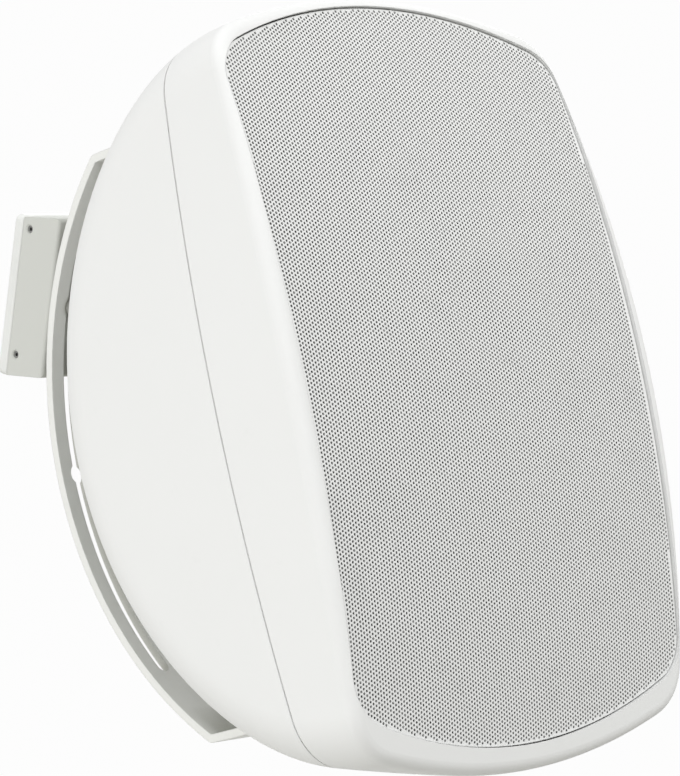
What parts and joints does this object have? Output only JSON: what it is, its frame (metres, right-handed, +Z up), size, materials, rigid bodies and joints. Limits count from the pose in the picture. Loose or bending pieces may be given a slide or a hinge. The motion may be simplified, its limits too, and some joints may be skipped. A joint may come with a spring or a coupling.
{
  "type": "loudspeaker",
  "caption": "Wall loudspeaker with a convex perforated grille, a round-backed moulded cabinet and a slotted curved rail that tilts on a wall bracket.",
  "frame": {"origin": "centre of the wall plate's back face, on the wall", "axes": "+Y into the wall, +Z up the wall, +X to the right seen from the room; stored at the tilt of the picture"},
  "size_m": [0.1924, 0.2324, 0.2605],
  "materials": {
    "white_moulding": "fine satin texture",
    "grille_enamel": "white powder coat on perforated steel",
    "black_cloth": "woven acoustic cloth",
    "seal_rubber": "matt",
    "rail_enamel": "white powder coat",
    "bracket_moulding": "satin",
    "plate_enamel": "white powder coat",
    "zinc_steel": "zinc plated",
    "black_steel": "black enamel",
    "ferrite": "ground ferrite",
    "pole_steel": "zinc plated",
    "paper": "coated paper",
    "surround_rubber": "matt",
    "amber_film": "clear amber film",
    "copper": "enamelled copper",
    "spider_cloth": "resin treated cloth",
    "black_plastic": "moulded",
    "silk": "coated silk",
    "board_laminate": "lacquered laminate",
    "capacitor_film": "wrapped film",
    "ceramic": "fired ceramic",
    "brass_contact": "bright",
    "green_plastic": "moulded",
    "wire_sheath": "smooth",
    "wadding": "loose fibre"
  },
  "bodies": {
    "wall_bracket": {"wall_plate": "plate_enamel", "bracket_housing": "bracket_moulding", "bracket_side_screws": "black_steel", "clamp_bolts": "zinc_steel", "clamp_nuts": "zinc_steel"},
    "speaker": {"front_shell": "white_moulding", "rear_shell": "white_moulding", "grille": "grille_enamel", "grille_cloth": "black_cloth", "seam_gasket": "seal_rubber", "shell_screws": "zinc_steel", "rail": "rail_enamel", "rail_screws": "zinc_steel", "woofer_basket": "black_steel", "woofer_gasket": "seal_rubber", "woofer_screws": "zinc_steel", "woofer_top_plate": "pole_steel", "woofer_magnet": "ferrite", "woofer_yoke": "pole_steel", "woofer_tag_strip": "black_plastic", "woofer_tags": "brass_contact", "woofer_surround": "surround_rubber", "woofer_spider": "spider_cloth", "woofer_leads": "copper", "tweeter_face_plate": "black_plastic", "tweeter_dome": "silk", "tweeter_coil": "copper", "tweeter_top_plate": "pole_steel", "tweeter_magnet": "ferrite", "tweeter_yoke": "pole_steel", "tweeter_tags": "brass_contact", "tweeter_screws": "zinc_steel", "crossover_board": "board_laminate", "crossover_screws": "zinc_steel", "crossover_coils": "copper", "crossover_capacitors": "capacitor_film", "crossover_resistor": "ceramic", "terminal_plate": "black_plastic", "terminal_block": "green_plastic", "terminal_contacts": "brass_contact", "terminal_screws": "zinc_steel", "wires_input": "wire_sheath", "wires_woofer": "wire_sheath", "wires_tweeter": "wire_sheath", "damping_pad": "wadding"},
    "cone": {"woofer_cone": "paper", "woofer_dust_cap": "paper", "woofer_former": "amber_film", "woofer_winding": "copper"}
  },
  "joints": [
    {"name": "tilt", "type": "hinge", "parent": "wall_bracket", "child": "speaker", "pos_m": [0, -0.16235, 0], "axis": [1, 0, 0], "range_deg": [-7.5, 58.5]},
    {"name": "cone_travel", "type": "slide", "parent": "speaker", "child": "cone", "axis": [0, -0.9026, 0.4305], "range_m": [-0.004, 0.004], "stiffness_N_per_m": 1000, "deforming": ["woofer_surround", "woofer_spider", "woofer_leads"]}
  ]
}
